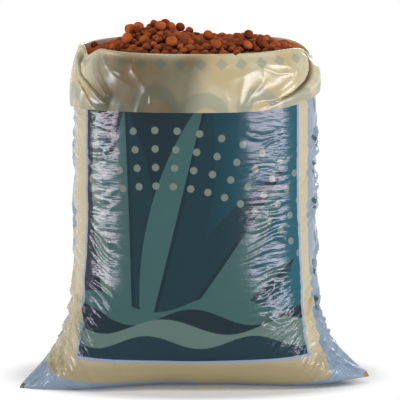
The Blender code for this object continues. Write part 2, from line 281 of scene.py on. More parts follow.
# crease lines pressed into the cuff: points as (turns, share), rise and width in metres
cuffLines = [
    dict(path=((0.062, 0.02), (0.100, 0.17), (0.138, 0.24), (0.152, 0.38)), rise=0.0016, width=0.0040),
    dict(path=((0.016, 0.55), (0.060, 0.38), (0.099, 0.24)), rise=0.0011, width=0.0030),
    dict(path=((0.099, 0.24), (0.101, 0.42), (0.092, 0.60)), rise=0.0015, width=0.0030),
    dict(path=((0.099, 0.24), (0.120, 0.37), (0.145, 0.39)), rise=0.0012, width=0.0026),
    dict(path=((0.145, 0.39), (0.140, 0.52), (0.124, 0.64)), rise=0.0012, width=0.0030),
    dict(path=((0.069, 0.90), (0.078, 0.70), (0.095, 0.52)), rise=0.0016, width=0.0028),
    dict(path=((0.069, 0.90), (0.095, 0.80), (0.128, 0.84)), rise=0.0016, width=0.0030),
    dict(path=((0.040, 0.66), (0.046, 0.80)), rise=0.0008, width=0.0022),
    dict(path=((0.010, 0.54), (0.020, 0.60)), rise=0.0012, width=0.0030),
    dict(path=((-0.093, 0.04), (-0.090, 0.27), (-0.062, 0.70), (-0.062, 0.84)), rise=0.0020, width=0.0036),
    dict(path=((-0.143, 0.06), (-0.134, 0.22), (-0.108, 0.34)), rise=0.0014, width=0.0030),
    dict(path=((-0.134, 0.22), (-0.115, 0.42), (-0.092, 0.56)), rise=0.0010, width=0.0036),
    dict(path=((-0.160, 0.80), (-0.146, 0.88), (-0.132, 0.97)), rise=0.0014, width=0.0030),
    dict(path=((-0.151, 0.13), (-0.146, 0.37), (-0.123, 0.71), (-0.126, 0.84)), rise=0.0010, width=0.0020),
    dict(path=((0.400, 0.10), (0.430, 0.55), (0.420, 0.90)), rise=0.0016, width=0.0040),
    dict(path=((0.560, 0.05), (0.540, 0.45), (0.590, 0.90)), rise=0.0018, width=0.0045),
    dict(path=((0.660, 0.08), (0.690, 0.50), (0.670, 0.95)), rise=0.0020, width=0.0045),
]


def rimLift(places):
    tilt = rim["tilt"] * np.cos(2 * math.pi * places)
    shoulders = sum(hill(turnsFrom(places, place), rim["shoulderSpread"]) for place in rim["shoulders"])
    right = rim["rightDip"] * hill(turnsFrom(places, 0.25), rim["rightDipSpread"])
    left = rim["leftDip"] * hill(turnsFrom(places, rim["leftDipPlace"]), rim["shoulderSpread"])
    around = turnsFrom(places, 0.0)
    notch = sum(
        depth * ease(np.interp(around, (start, deepest, end), (0, 1, 0)))
        for start, deepest, end, depth in rim["notches"]
    )
    return rim["shoulderRise"] * shoulders - tilt - right - left - notch


def edgeAt(name, share):
    shares, turns = foldEdges[name]
    return np.interp(share, shares, turns)


def pleatWidthAt(share):
    # the pleat runs out softly towards its foot
    return cuff["pleatWidth"] * (1 + cuff["pleatEasing"] * ease((share - 0.5) / 0.25))


def cuffPlaces(places, share):
    # film drawn over itself at the right pleat, so its edge hangs over what lies behind
    q = turnsFrom(places, edgeAt("right", share)) / pleatWidthAt(share)
    depth = cuff["pleatOverlap"] * ease(share / 0.2) * ease((1.02 - share) / 0.30)
    return places + np.where(abs(q) < 1, -np.sin(math.pi * q) * depth, 0.0)


def cuffStand(places, share):
    swell = cuff["swell"] * math.sin(math.pi * share ** 0.8)
    around = turnsFrom(places, 0.0)
    behind = -turnsFrom(places, edgeAt("right", share))
    fall = np.exp(-np.clip(behind, 0, None) / cuff["pleatLength"])
    step = cuff["pleatStep"] * fall * ease(behind / pleatWidthAt(share) / 2 + 0.5) * ease((1.05 - share) / 0.35)
    fold = np.zeros(len(places))
    for left, right, end, rise in tongues:
        start, stop = edgeAt(left, share), edgeAt(right, share)
        across = np.clip((around - start) / max(stop - start, 0.004), 0, 1)
        slope = foldShape["lowSide"] + (1 - foldShape["lowSide"]) * across
        sides = ease((around - start) / foldShape["edge"]) * ease((stop - around) / foldShape["edge"] + 0.5)
        upper = ease((end - share) / 0.10)
        fold += rise * slope * sides * upper
        fold -= foldShape["groove"] * hill(around - start, foldShape["grooveWidth"]) * upper
    groove = hill(-behind - behindGroove["place"], behindGroove["width"])
    mound = hill(-behind - behindSwell["place"], behindSwell["width"])
    fold -= behindGroove["height"] * groove * ease((1.0 - share) / 0.3) * ease(share / 0.25)
    fold += behindSwell["height"] * mound * ease((1.1 - share) / 0.5) * ease(share / 0.35)
    dents = sum(
        depth * hill(turnsFrom(places, place), wide) * hill(share - down, tall)
        for place, down, depth, wide, tall in cuff["dents"]
    )
    length = cuff["drop"] - cuff["foldRadius"]
    lines = np.zeros(len(places))
    for line in cuffLines:
        path = [(turnsFrom(np.float64(x), 0.0), y * length) for x, y in line["path"]]
        lines += line["rise"] * np.exp(-pathDistance(around, share * length, path) / line["width"])
    buckles = 0.0006 * ridges(around, share * length, 0.026, 70, 2.4, 71) * ease((0.48 - abs(around)) / 0.06)
    settled = ease(share / cuff["rounding"])
    return 2 * cuff["foldRadius"] + (swell + step + fold + lines + buckles - dents) * settled


def foldPaintedShade(places, share):
    # painted shade along the folds, 0 to 1
    dust = np.zeros(len(places))
    for name, beside, width, strength in foldShadeLines:
        lengthwise = ease(share / 0.04) * ease((0.98 - share) / 0.2)
        line = strength * hill(turnsFrom(places, edgeAt(name, share) + beside), width) * lengthwise
        dust = np.maximum(dust, line)
    return dust


# ---- the film as one sheet: base, body, over the rim, down the cuff to the hem
# columns stand closer at the front and closest at the cuff's folds: (place, spread, extra), with less at the back
filmMesh = {
    "columns": 400,
    "backDensity": 0.55,
    "crowding": ((0.0, 0.27, 0.75), (0.170, 0.035, 1.1), (-0.172, 0.042, 1.2)),
    "baseRows": 34,
    "bodyStep": 0.0025,
    "bodyTop": 0.400,
    "neckRows": 12,
    "foldSteps": 8,
    "cuffRows": 42,
    "linerFrom": 0.428,
}


def filmPlaces():
    fine = np.linspace(0, 1, 4001)
    density = filmMesh["backDensity"] + sum(
        extra * hill(turnsFrom(fine, place), spread) for place, spread, extra in filmMesh["crowding"]
    )
    passed = np.concatenate([[0], np.cumsum((density[1:] + density[:-1]) / 2)])
    return np.interp(np.arange(filmMesh["columns"]) / filmMesh["columns"], passed / passed[-1], fine)


def bodyHeights():
    curve = np.linspace(0, math.pi / 2, filmMesh["baseRows"], endpoint=False)
    low = list(tube["baseRadius"] * (1 - np.cos(curve)))
    steps = int((filmMesh["bodyTop"] - tube["baseRadius"]) / filmMesh["bodyStep"])
    middle = list(np.linspace(tube["baseRadius"], filmMesh["bodyTop"], steps))
    top = tube["rimHeight"] - cuff["foldRadius"]
    neck = list(np.linspace(filmMesh["bodyTop"], top, filmMesh["neckRows"] + 1)[1:])
    return low + middle + neck


def filmRows():
    places = filmPlaces()
    lift = rimLift(places)
    rows, downs, foldShades = [], [], []
    for z in bodyHeights():
        points, out = section(z, places)
        foot = ease(z / 0.012)
        stand = gatherHeight(places, z) + creaseHeight(places, z) * foot
        rows.append(np.column_stack([points + out * stand[:, None], z + lift * neckShare(z)]))
        downs.append(z)
    top = tube["rimHeight"] - cuff["foldRadius"]
    crest, out = section(top, places)
    for step in range(1, filmMesh["foldSteps"]):
        angle = math.pi * step / filmMesh["foldSteps"]
        away = cuff["foldRadius"] * (1 - math.cos(angle))
        up = cuff["foldRadius"] * math.sin(angle)
        rows.append(np.column_stack([crest + out * away, top + up + lift]))
        downs.append(top + cuff["foldRadius"] * angle)
    hemLift = cuff["hemRise"] * hill(turnsFrom(places, cuff["hemRisePlace"]), cuff["hemRiseSpread"])
    for step in range(filmMesh["cuffRows"] + 1):
        share = step / filmMesh["cuffRows"]
        drop = (cuff["drop"] - cuff["foldRadius"]) * share
        points, out = section(top - drop, cuffPlaces(places, share))
        flat = points + out * cuffStand(places, share)[:, None]
        rows.append(np.column_stack([flat, top - drop + lift * (1 - share) + hemLift * share]))
        downs.append(top + cuff["foldRadius"] * math.pi + drop)
        foldShades.append(foldPaintedShade(places, share))
    clean = [np.zeros(len(places))] * (len(rows) - len(foldShades))
    return settle(np.array(rows)), np.array(downs), places, np.array(clean + foldShades)


def addMesh(name, points, faces):
    mesh = bpy.data.meshes.new(name)
    mesh.from_pydata([tuple(p) for p in points], [], faces)
    mesh.shade_smooth()
    made = bpy.data.objects.new(name, mesh)
    bpy.context.scene.collection.objects.link(made)
    return made


def joinRings(low, high, count):
    # faces between two closed rings of points
    return [(low + i, low + (i + 1) % count, high + (i + 1) % count, high + i) for i in range(count)]


def makeFilm():
    rows, downs, places, foldShades = filmRows()
    count = len(places)
    faces = []
    for row in range(len(rows) - 1):
        faces += joinRings(row * count, (row + 1) * count, count)
    faces.append(tuple(range(count - 1, -1, -1)))
    made = addMesh("bag_of_film", rows.reshape(-1, 3), faces)
    # film coordinates for the print: turns round the bag from the front's middle, metres up the film
    around = turnsFrom(places, 0.0)
    layer = made.data.uv_layers.new(name="film")
    loops = np.zeros(len(made.data.loops), int)
    made.data.loops.foreach_get("vertex_index", loops)
    u = around[loops % count]
    v = downs[loops // count]
    starts = np.zeros(len(made.data.polygons), int)
    totals = np.zeros(len(made.data.polygons), int)
    made.data.polygons.foreach_get("loop_start", starts)
    made.data.polygons.foreach_get("loop_total", totals)
    owner = np.repeat(np.arange(len(starts)), totals)
    widest = np.maximum.reduceat(u, starts)
    narrowest = np.minimum.reduceat(u, starts)
    crosses = (widest - narrowest > 0.5)[owner]
    u = np.where(crosses & (u < 0), u + 1, u)
    layer.data.foreach_set("uv", np.column_stack([u, v]).ravel())
    # painted shade along the cuff's folds, kept on the points for the inner face's colour
    foldShadeLayer = made.data.attributes.new("foldPaintedShade", "FLOAT", "POINT")
    foldShadeLayer.data.foreach_set("value", foldShades.ravel())
    # from just under the hem upwards the inner face shows
    turned = np.minimum.reduceat(v, starts) > filmMesh["linerFrom"]
    made.data.polygons.foreach_set("material_index", turned.astype(int))
    return made


# ---- a material's nodes, with short ways to add to them
class Finish:
    def __init__(self, name):
        self.material = bpy.data.materials.new(name)
        self.material.use_nodes = True
        self.tree = self.material.node_tree
        self.shader = self.tree.nodes["Principled BSDF"]

    def node(self, kind, **settings):
        made = self.tree.nodes.new(kind)
        for key, value in settings.items():
            setattr(made, key, value)
        return made

    def plug(self, socket, value):
        if isinstance(value, bpy.types.NodeSocket):
            self.tree.links.new(value, socket)
        else:
            socket.default_value = value

    def math(self, operation, *values, clamp=False):
        made = self.node("ShaderNodeMath", operation=operation, use_clamp=clamp)
        for socket, value in zip(made.inputs, values):
            self.plug(socket, value)
        return made.outputs[0]

    def times(self, first, second, clamp=False):
        return self.math("MULTIPLY", first, second, clamp=clamp)

    def less(self, first, second):
        return self.math("SUBTRACT", first, second)

    def line(self, value, slope, start):
        # value times slope, plus start
        return self.math("MULTIPLY_ADD", value, slope, start)

    def size(self, value):
        return self.math("ABSOLUTE", value)

    def length(self, x, y):
        return self.math("SQRT", self.math("ADD", self.times(x, x), self.times(y, y)))

    def cell(self, value):
        # place within a repeat, -0.5 to 0.5
        return self.less(self.math("FRACT", value), 0.5)

    def rise(self, value, low, high):
        made = self.node("ShaderNodeMapRange", interpolation_type="SMOOTHSTEP")
        for name, given in (("Value", value), ("From Min", low), ("From Max", high)):
            self.plug(made.inputs[name], given)
        return made.outputs["Result"]

    def past(self, value, edge=0.0006):
        # 1 where the value is above 0, with a printed line's soft edge
        return self.rise(value, -edge, edge)

    def mix(self, share, first, second):
        made = self.node("ShaderNodeMix", data_type="RGBA")
        self.plug(made.inputs[0], share)
        self.plug(made.inputs[6], first)
        self.plug(made.inputs[7], second)
        return made.outputs[2]

    def vector(self, x, y, z=0.0):
        made = self.node("ShaderNodeCombineXYZ")
        for socket, value in zip(made.inputs, (x, y, z)):
            self.plug(socket, value)
        return made.outputs[0]

    def split(self, vector):
        made = self.node("ShaderNodeSeparateXYZ")
        self.plug(made.inputs[0], vector)
        return made.outputs[0], made.outputs[1]

    def noise(self, vector, scale, detail=2.0, rough=0.5):
        made = self.node("ShaderNodeTexNoise")
        self.plug(made.inputs["Vector"], vector)
        made.inputs["Scale"].default_value = scale
        made.inputs["Detail"].default_value = detail
        made.inputs["Roughness"].default_value = rough
        return made.outputs["Fac"]

    def disc(self, x, y, cx, cy, radius, edge=0.0006):
        # 1 inside a circle
        far = self.length(self.less(x, cx), self.less(y, cy))
        return self.rise(far, radius + edge, radius - edge)

    def bump(self, height, distance, strength=1.0, below=None):
        made = self.node("ShaderNodeBump")
        made.inputs["Strength"].default_value = strength
        made.inputs["Distance"].default_value = distance
        self.plug(made.inputs["Height"], height)
        if below is not None:
            self.plug(made.inputs["Normal"], below)
        return made.outputs[0]

    def surface(self, colour, normal, roughness, shine):
        self.plug(self.shader.inputs["Base Color"], colour)
        self.plug(self.shader.inputs["Normal"], normal)
        self.shader.inputs["Roughness"].default_value = roughness
        self.shader.inputs["Specular IOR Level"].default_value = shine


def tone(red, green, blue):
    # a colour as seen on screen, 0 to 255, turned into a shader colour
    values = []
    for part in (red, green, blue):
        part /= 255
        values.append(part / 12.92 if part <= 0.04045 else ((part + 0.055) / 1.055) ** 2.4)
    return (*values, 1.0)


# ---- the printed film
printColours = {
    "cream": tone(186, 177, 148),
    "creamShade": tone(174, 164, 134),
    "creamShadedFoot": tone(154, 142, 108),
    "line": tone(138, 151, 172),
    "side": tone(124, 143, 160),
    "field": tone(0, 32, 38),
    "fieldRight": tone(0, 78, 90),
    "mid": tone(0, 44, 50),
    "petrol": tone(0, 58, 66),
    "leaf": tone(50, 86, 84),
    "leafPale": tone(84, 108, 100),
    "dots": tone(106, 118, 108),
}
# leaf blades: foot and tip (across, up) and width, all in metres on the film, then the two halves' colours
leaves = [
    dict(foot=(-0.112, 0.070), tip=(-0.150, 0.398), width=0.052, halves=("leafPale", "leaf"), vein="leaf"),
    dict(foot=(-0.085, 0.060), tip=(-0.100, 0.405), width=0.074, halves=("leaf", "mid"), vein="field"),
    dict(foot=(-0.040, 0.040), tip=(0.152, 0.185), width=0.060, halves=("leaf", "petrol"), vein="field"),
    dict(foot=(-0.055, 0.050), tip=(0.132, 0.315), width=0.080, halves=("mid", "leaf"), vein="field"),
    dict(foot=(-0.070, 0.055), tip=(0.020, 0.425), width=0.084, halves=("leaf", "mid"), vein="field"),
]
waveBands = [
    dict(height=0.128, swing=0.013, length=0.190, phase=0.3, colour="leaf"),
    dict(height=0.108, swing=0.012, length=0.170, phase=1.7, colour="field"),
    dict(height=0.094, swing=0.011, length=0.180, phase=3.1, colour="leafPale"),
    dict(height=0.072, swing=0.009, length=0.150, phase=4.4, colour="mid"),
]
# dots on arcs round the fan's foot: middle, pitch, dots a radian, first and last arc, radius in pitches
dotArcs = {"middle": (-0.05, 0.02), "pitch": 0.026, "perRadian": 11.0, "first": 0.260, "last": 0.364, "size": 0.20}
# the panel's edges: turns across, metres up; a widening runs between two heights and adds the third number
panel = {
    "tint": (-0.05, 0.16),
    "left": -0.1758,
    "leftUpper": (0.15, 0.23, 0.0058),
    "leftLower": (0.085, 0.035, 0.0060),
    "right": 0.158,
    "rightLower": (0.30, 0.13, 0.007),
    "foot": 0.0445,
    "footCurve": 0.25,
    "line": (-0.0052, -0.0042),
}
# the cream strips round the panel, and where the blue-grey of the sides begins
strips = {
    "right": 0.185,
    "rightBulge": 0.016,
    "bulgeHeight": 0.095,
    "bulgeFall": -204.0,
    "left": -0.217,
    "leftLower": (0.25, 0.13, -0.029),
    "lowLeft": (9.3, 0.009),
    "lowRight": (5.0, 0.004),
    "footShade": (0.062, 0.030),
    "patches": 14.0,
}
sideMarks = {
    "place": 0.214,
    "pitch": 0.047,
    "size": 0.014,
    "slender": 2.2,
    "lean": 0.8,
    "lowest": (0.09, 0.092),
    "tips": (0.2415, 0.2425),
    "tipHeight": (0.008, 0.006),
    "colour": tone(4, 66, 76),
    "leftTip": tone(34, 66, 48),
    "rightTip": tone(150, 104, 52),
}
# wrinkles too fine for the mesh: round the bag, fanning up from the foot, the finest, the pebbles behind
wrinkles = {
    "level": {"stretch": 0.22, "scale": 115.0, "height": 0.0016, "strength": 0.55},
    "fan": {"slope": 0.75, "stretch": 0.16, "scale": 62.0, "height": 0.0090, "strength": 0.8},
    "fine": {"scale": 95.0, "height": 0.0004, "strength": 0.35},
    "pebbly": {"scale": 62.0, "height": 0.0006, "strength": 0.30},
}
filmGloss = {"roughness": 0.20, "shine": 0.31, "tint": (0.96, 0.85, 1.0, 1.0)}


def leafMask(finish, u, v, foot, tip, width):
    # the lens where two circles through foot and tip overlap; returns it and the way from its middle line
    fx, fy = foot
    tx, ty = tip
    length = math.hypot(tx - fx, ty - fy)
    radius = (length * length / 4 + width * width / 4) / width
    reach = radius - width / 2
    ax, ay = (tx - fx) / length, (ty - fy) / length
    mx, my = (fx + tx) / 2, (fy + ty) / 2
    right = finish.disc(u, v, mx + ay * reach, my - ax * reach, radius)
    left = finish.disc(u, v, mx - ay * reach, my + ax * reach, radius)
    across = finish.times(finish.less(u, mx), ay)
    return finish.times(right, left), finish.line(finish.less(v, my), -ax, across)


def artwork(paint, u, up):
    # leaf blades over a dark field, dots on arcs, waves along the foot
    colour = paint.mix(paint.rise(u, *panel["tint"]), printColours["field"], printColours["fieldRight"])
    for leaf in leaves:
        blade, side = leafMask(paint, u, up, leaf["foot"], leaf["tip"], leaf["width"])
        left, right = (printColours[half] for half in leaf["halves"])
        halves = paint.mix(paint.past(side, 0.0005), left, right)
        vein = paint.rise(paint.size(side), 0.0028, 0.0020)
        colour = paint.mix(blade, colour, paint.mix(vein, halves, printColours[leaf["vein"]]))
    pitch, perRadian, size = dotArcs["pitch"], dotArcs["perRadian"], dotArcs["size"]
    reachX, reachY = (paint.less(value, middle) for value, middle in zip((u, up), dotArcs["middle"]))
    radius = paint.length(reachX, reachY)
    turn = paint.cell(paint.times(paint.math("ARCTAN2", reachY, reachX), perRadian))
    ring = paint.cell(paint.math("DIVIDE", radius, pitch))
    wide = paint.times(turn, paint.math("DIVIDE", radius, pitch * perRadian))
    dots = paint.rise(paint.length(ring, wide), size + 0.02, size - 0.02)
    first = paint.past(paint.less(radius, dotArcs["first"]), 0.002)
    last = paint.past(paint.less(dotArcs["last"], radius), 0.002)
    colour = paint.mix(paint.times(dots, paint.times(first, last)), colour, printColours["dots"])
    for wave in waveBands:
        angle = paint.line(u, 2 * math.pi / wave["length"], wave["phase"])
        crest = paint.line(paint.math("SINE", angle), wave["swing"], wave["height"])
        colour = paint.mix(paint.past(paint.less(crest, up)), colour, printColours[wave["colour"]])
    return colour


def panelFrame(paint, whole, u, up, colour):
    # the panel's edges with their pale line, the cream strips, and the blue-grey sides
    def widened(base, low, high, extra):
        return paint.line(paint.rise(up, low, high), extra, base)

    square = paint.times(u, u)
    leftEdge = widened(widened(panel["left"], *panel["leftUpper"]), *panel["leftLower"])
    rightEdge = widened(panel["right"], *panel["rightLower"])
    foot = paint.line(square, panel["footCurve"], panel["foot"])
    across = paint.math("MINIMUM", paint.less(u, leftEdge), paint.less(rightEdge, u))
    inside = paint.math("MINIMUM", across, paint.less(up, foot))
    cream = paint.noise(whole, strips["patches"], 3.0)
    cream = paint.mix(cream, printColours["creamShade"], printColours["cream"])
    # painted shade: the cream darker towards the foot, where the film curves under
    cream = paint.mix(paint.rise(up, *strips["footShade"]), cream, printColours["creamShadedFoot"])
    lined = paint.mix(paint.rise(inside, *panel["line"]), cream, printColours["line"])
    colour = paint.mix(paint.past(inside, 0.0005), lined, colour)
    high = paint.less(up, strips["bulgeHeight"])
    bulge = paint.math("EXPONENT", paint.times(paint.times(high, high), strips["bulgeFall"]))
    right = paint.past(paint.less(u, paint.line(bulge, strips["rightBulge"], strips["right"])))
    left = paint.past(paint.less(widened(strips["left"], *strips["leftLower"]), u))
    fourth = paint.times(square, square)
    lows = [paint.line(fourth, *strips[name]) for name in ("lowLeft", "lowRight")]
    low = paint.past(paint.less(paint.mix(paint.rise(u, -0.005, 0.005), *lows), up))
    edge = paint.math("MAXIMUM", paint.math("MAXIMUM", right, left), low)
    return paint.mix(edge, colour, printColours["side"])


def sideLeaves(paint, u, up, colour):
    # a row of small leaves down the side, and the end of the print at the corners
    out = paint.size(u)
    pitch, size = sideMarks["pitch"], sideMarks["size"]
    along = paint.times(paint.cell(paint.math("DIVIDE", up, pitch)), pitch)
    wide = paint.times(paint.less(out, sideMarks["place"]), sideMarks["slender"])
    far = paint.length(along, paint.line(along, sideMarks["lean"], wide))
    mark = paint.times(paint.rise(far, size, size - 0.001), paint.rise(up, *sideMarks["lowest"]))
    colour = paint.mix(paint.times(mark, paint.rise(u, 0.0, 0.01)), colour, sideMarks["colour"])
    tip = paint.times(paint.rise(out, *sideMarks["tips"]), paint.rise(up, *sideMarks["tipHeight"]))
    tips = paint.mix(paint.rise(u, -0.01, 0.01), sideMarks["leftTip"], sideMarks["rightTip"])
    return paint.mix(tip, colour, tips)


def filmBump(paint, whole, around, u, up):
    out = paint.size(u)
    level, fan, fine, pebbly = (wrinkles[name] for name in ("level", "fan", "fine", "pebbly"))
    slack = paint.line(paint.rise(out, 0.05, 0.12), 0.75, 0.35)
    runs = paint.vector(paint.times(around, level["stretch"]), up)
    runs = paint.times(paint.noise(runs, level["scale"], 3.0, 0.55), slack)
    fanUp = paint.line(out, -fan["slope"], up)
    fanAlong = paint.times(paint.line(up, fan["slope"], out), fan["stretch"])
    fanned = paint.noise(paint.vector(fanAlong, fanUp), fan["scale"], 3.0, 0.55)
    corners = paint.times(paint.rise(out, 0.11, 0.17), paint.rise(up, 0.17, 0.09))
    normal = paint.bump(paint.noise(whole, pebbly["scale"], 0.0), pebbly["height"], pebbly["strength"])
    normal = paint.bump(paint.times(fanned, corners), fan["height"], fan["strength"], normal)
    normal = paint.bump(runs, level["height"], level["strength"], normal)
    return paint.bump(paint.noise(whole, fine["scale"], 3.0, 0.6), fine["height"], fine["strength"], normal)


def printFilm():
    paint = Finish("printed_film")
    around, up = paint.split(paint.node("ShaderNodeUVMap", uv_map="film").outputs[0])
    u = paint.math("WRAP", around, 0.25, -0.25)  # the back has the same print as the front
    whole = paint.vector(around, up)
    colour = panelFrame(paint, whole, u, up, artwork(paint, u, up))
    colour = sideLeaves(paint, u, up, colour)
    normal = filmBump(paint, whole, around, u, up)
    paint.surface(colour, normal, filmGloss["roughness"], filmGloss["shine"])
    paint.shader.inputs["Specular Tint"].default_value = filmGloss["tint"]
    return paint.material


# the inner face, which the cuff turns outwards: the print on its other side shows through faintly
liner = {
    "pale": tone(180, 172, 142),
    "tan": tone(174, 158, 118),
    # shaded copies of the inner face's colours, for the painted shade on the cuff's middle
    "shade": tone(88, 83, 62),
    "shadeTan": tone(98, 80, 50),
    "ghost": tone(132, 140, 124),
    "ghostShade": tone(72, 78, 64),
    # the colour of the painted highlight along the rim's fold
    "rim": tone(196, 187, 152),
    # the colour of the painted light inside the mouth
    "inside": tone(248, 240, 210),
    # the colour of the painted shade along the fold lines
    "foldShadeColour": tone(92, 72, 36),
    "ghostStrength": 0.66,
    # lozenges near the rim: how many a turn, where they start, way down in metres
    "lozenges": (34.0, 0.2, 0.0165),
    "rimHighlightWidth": (0.0030, 0.0008),
    "roughness": 0.27,
    "shine": 0.46,
    # soft round shapes of the print: turns, way down from the rim in metres, radius
    "rounds": (
        (-0.128, 0.092, 0.030), (-0.058, 0.080, 0.034), (0.012, 0.094, 0.036), (0.088, 0.082, 0.030),
        (0.156, 0.094, 0.032), (0.232, 0.082, 0.032), (-0.200, 0.084, 0.032),
    ),
}


def linerFilm():
    paint = Finish("film_inner_face")
    around, up = paint.split(paint.node("ShaderNodeUVMap", uv_map="film").outputs[0])
    whole = paint.vector(around, up)
    rimLine = tube["rimHeight"] - cuff["foldRadius"] + cuff["foldRadius"] * math.pi / 2
    down = paint.less(up, rimLine)

    # painted shade: the cuff's middle, where the film lies on the dark print below, takes darker shaded copies of
    # its colours, partly the print showing through; the right stays paler, as lit
    cloud = paint.noise(whole, 16.0, 3.0)
    lean = paint.line(down, 0.25, around)
    closeAndShaded = paint.less(paint.rise(lean, -0.165, -0.105), paint.rise(lean, -0.004, 0.036))
    closeAndShaded = paint.times(closeAndShaded, paint.rise(down, -0.006, 0.014))
    closeAndShaded = paint.times(closeAndShaded, paint.line(cloud, 0.5, 0.72), clamp=True)
    warm = paint.rise(cloud, 0.38, 0.62)
    base = paint.mix(warm, liner["pale"], liner["tan"])
    dusk = paint.mix(warm, liner["shade"], liner["shadeTan"])
    ghost = None
    for turn, drop, radius in liner["rounds"]:
        outer = paint.disc(around, down, turn, drop, radius, 0.0026)
        inner = paint.disc(around, down, turn + 0.004, drop + 0.006, radius * 0.52, 0.0026)
        ring = paint.less(outer, inner)
        ghost = ring if ghost is None else paint.math("MAXIMUM", ghost, ring)
    # a row of soft lozenges nearer the rim
    often, first, drop = liner["lozenges"]
    wide = paint.size(paint.times(paint.cell(paint.line(around, often, first)), 1 / often))
    tall = paint.size(paint.less(down, drop))
    lozenge = paint.rise(paint.line(tall, 1.1, wide), 0.0112, 0.0075)
    ghost = paint.times(paint.math("MAXIMUM", ghost, lozenge), liner["ghostStrength"])
    lit = paint.mix(ghost, base, liner["ghost"])
    shaded = paint.mix(ghost, dusk, liner["ghostShade"])
    colour = paint.mix(closeAndShaded, lit, shaded)
    # painted highlight: a paler band along the rim's fold
    edge = paint.rise(paint.size(down), *liner["rimHighlightWidth"])
    colour = paint.mix(paint.times(edge, 0.8), colour, liner["rim"])
    # painted light: inside the mouth the film is made much paler, standing for light through it from behind
    colour = paint.mix(paint.rise(down, -0.001, -0.006), colour, liner["inside"])
    # painted shade along the fold lines
    dust = paint.node("ShaderNodeAttribute", attribute_name="foldPaintedShade").outputs["Fac"]
    colour = paint.mix(dust, colour, liner["foldShadeColour"])
    normal = paint.bump(paint.noise(whole, 80.0, 3.0, 0.6), 0.0005, 0.45)
    paint.surface(colour, normal, liner["roughness"], liner["shine"])
    return paint.material


bag = makeFilm()
bag.data.materials.append(printFilm())
bag.data.materials.append(linerFilm())
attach(bag, "root")
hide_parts("bag_film")
print("film made:", len(bag.data.polygons), "faces")

# ---- pebbles
heap = {
    "smallest": 0.0095,
    "largest": 0.0190,
    "smallBias": 1.4,
    "packing": 0.93,
    "rounds": 60,
    "speed": 0.35,
    "placeScatter": 0.3,
    "heightScatter": 0.0022,
    "wallSlack": 0.0015,
    "edgeDrop": 0.011,
    "rise": 0.022,
    "hills": ((0.015, -0.060, 0.010, 0.045, 0.070), (0.006, 0.085, 0.035, 0.060, 0.060)),
    "lumps": 0.035,
    "flattening": 0.10,
    "secondLayerDrop": 0.0120,
    "secondLayerShift": 0.006,
    # how far the second layer's tones drop below 0, for painted shade in the gaps
    "gapShade": 1.30,
}


def mouthShare(x, y, room=0.0):
    width, depth = tube["mouthWidth"] / 2 - room, tube["mouthDepth"] / 2 - room
    power = np.abs(x / width) ** (2 / tube["acrossPower"]) + np.abs(y / depth) ** (2 / tube["depthPower"])
    return power ** (tube["acrossPower"] / 2)


def heapHeight(x, y):
    level = tube["rimHeight"] - heap["edgeDrop"] + heap["rise"] * (1 - np.minimum(1.0, mouthShare(x, y)) ** 3)
    for rise, px, py, sx, sy in heap["hills"]:
        level = level + rise * hill(x - px, sx) * hill(y - py, sy)
    return level


def packedPebbles():
    # the same outer layer as the CAD fill: x, y, z and radius of each pebble
    chance = np.random.default_rng(11)
    pitch = (heap["smallest"] + heap["largest"]) / 2
    places = []
    for row in range(-20, 21):
        for column in range(-20, 21):
            x = (column + 0.5 * (row % 2)) * pitch
            y = row * pitch * math.sqrt(3) / 2
            if mouthShare(x, y, pitch / 2) < 1:
                places.append((x, y))
    spots = np.array(places) + chance.uniform(-heap["placeScatter"], heap["placeScatter"], (len(places), 2)) * pitch
    sizes = chance.uniform(0, 1, len(spots)) ** heap["smallBias"]
    radii = (heap["smallest"] + (heap["largest"] - heap["smallest"]) * sizes) / 2
    scatter = chance.uniform(-heap["heightScatter"], heap["heightScatter"], len(spots))
    wanted = (radii[:, None] + radii[None]) * heap["packing"]
    others = 1 - np.eye(len(spots))
    for _ in range(heap["rounds"]):
        apart = spots[:, None] - spots[None]
        distance = np.linalg.norm(apart, axis=2) + np.eye(len(spots))
        push = np.clip(wanted - distance, 0, None) * others
        spots += (apart / distance[..., None] * push[..., None]).sum(axis=1) * heap["speed"]
        share = mouthShare(spots[:, 0], spots[:, 1], radii + heap["wallSlack"])
        spots /= np.maximum(1.0, share)[:, None]
    z = heapHeight(spots[:, 0], spots[:, 1]) - radii + scatter
    return np.column_stack([spots, z, radii])


def ballMesh(divisions):
    work = bmesh.new()
    bmesh.ops.create_icosphere(work, subdivisions=divisions, radius=1.0)
    points = np.array([tuple(v.co) for v in work.verts])
    faces = np.array([[v.index for v in f.verts] for f in work.faces])
    work.free()
    return points, faces


def lumpyPebbles(balls, divisions, seed):
    # every pebble is a slightly flattened ball with its own soft lumps
    chance = np.random.default_rng(seed)
    unit, triangles = ballMesh(divisions)
    points, faces, tones = [], [], []
    for index, (x, y, z, radius) in enumerate(balls):
        swell = np.zeros(len(unit))
        for _ in range(7):
            direction = chance.normal(0, 1, 3)
            direction /= np.linalg.norm(direction)
            swell += np.sin(unit @ direction * chance.uniform(1.6, 4.5) + chance.uniform(0, 6.3))
        shape = unit * (1 + heap["lumps"] * swell / 2.2)[:, None]
        axis = chance.normal(0, 1, 3)
        axis /= np.linalg.norm(axis)
        squash = chance.uniform(0, heap["flattening"] * 1.6)
        shape = shape - np.outer(shape @ axis, axis) * squash
        points.append(shape * radius + (x, y, z))
        faces.append(triangles + index * len(unit))
        tones.append(np.full(len(unit), chance.uniform(0, 1)))
    return np.concatenate(points), np.concatenate(faces), np.concatenate(tones)


# the mass below the visible layers: how far inside the film, and how far back from the ears
core = {
    "columns": 96,
    "rows": 9,
    "inset": 0.0085,
    "earRetreat": 0.035,
    "footHeight": 0.0006,
    "edgeDepth": 1.6,
    "topDepth": 1.5,
    "rings": (0.8, 0.6, 0.4, 0.2),
}


def coreTop(x, y):
    return x, y, heapHeight(x, y) - heap["smallest"] * core["topDepth"]


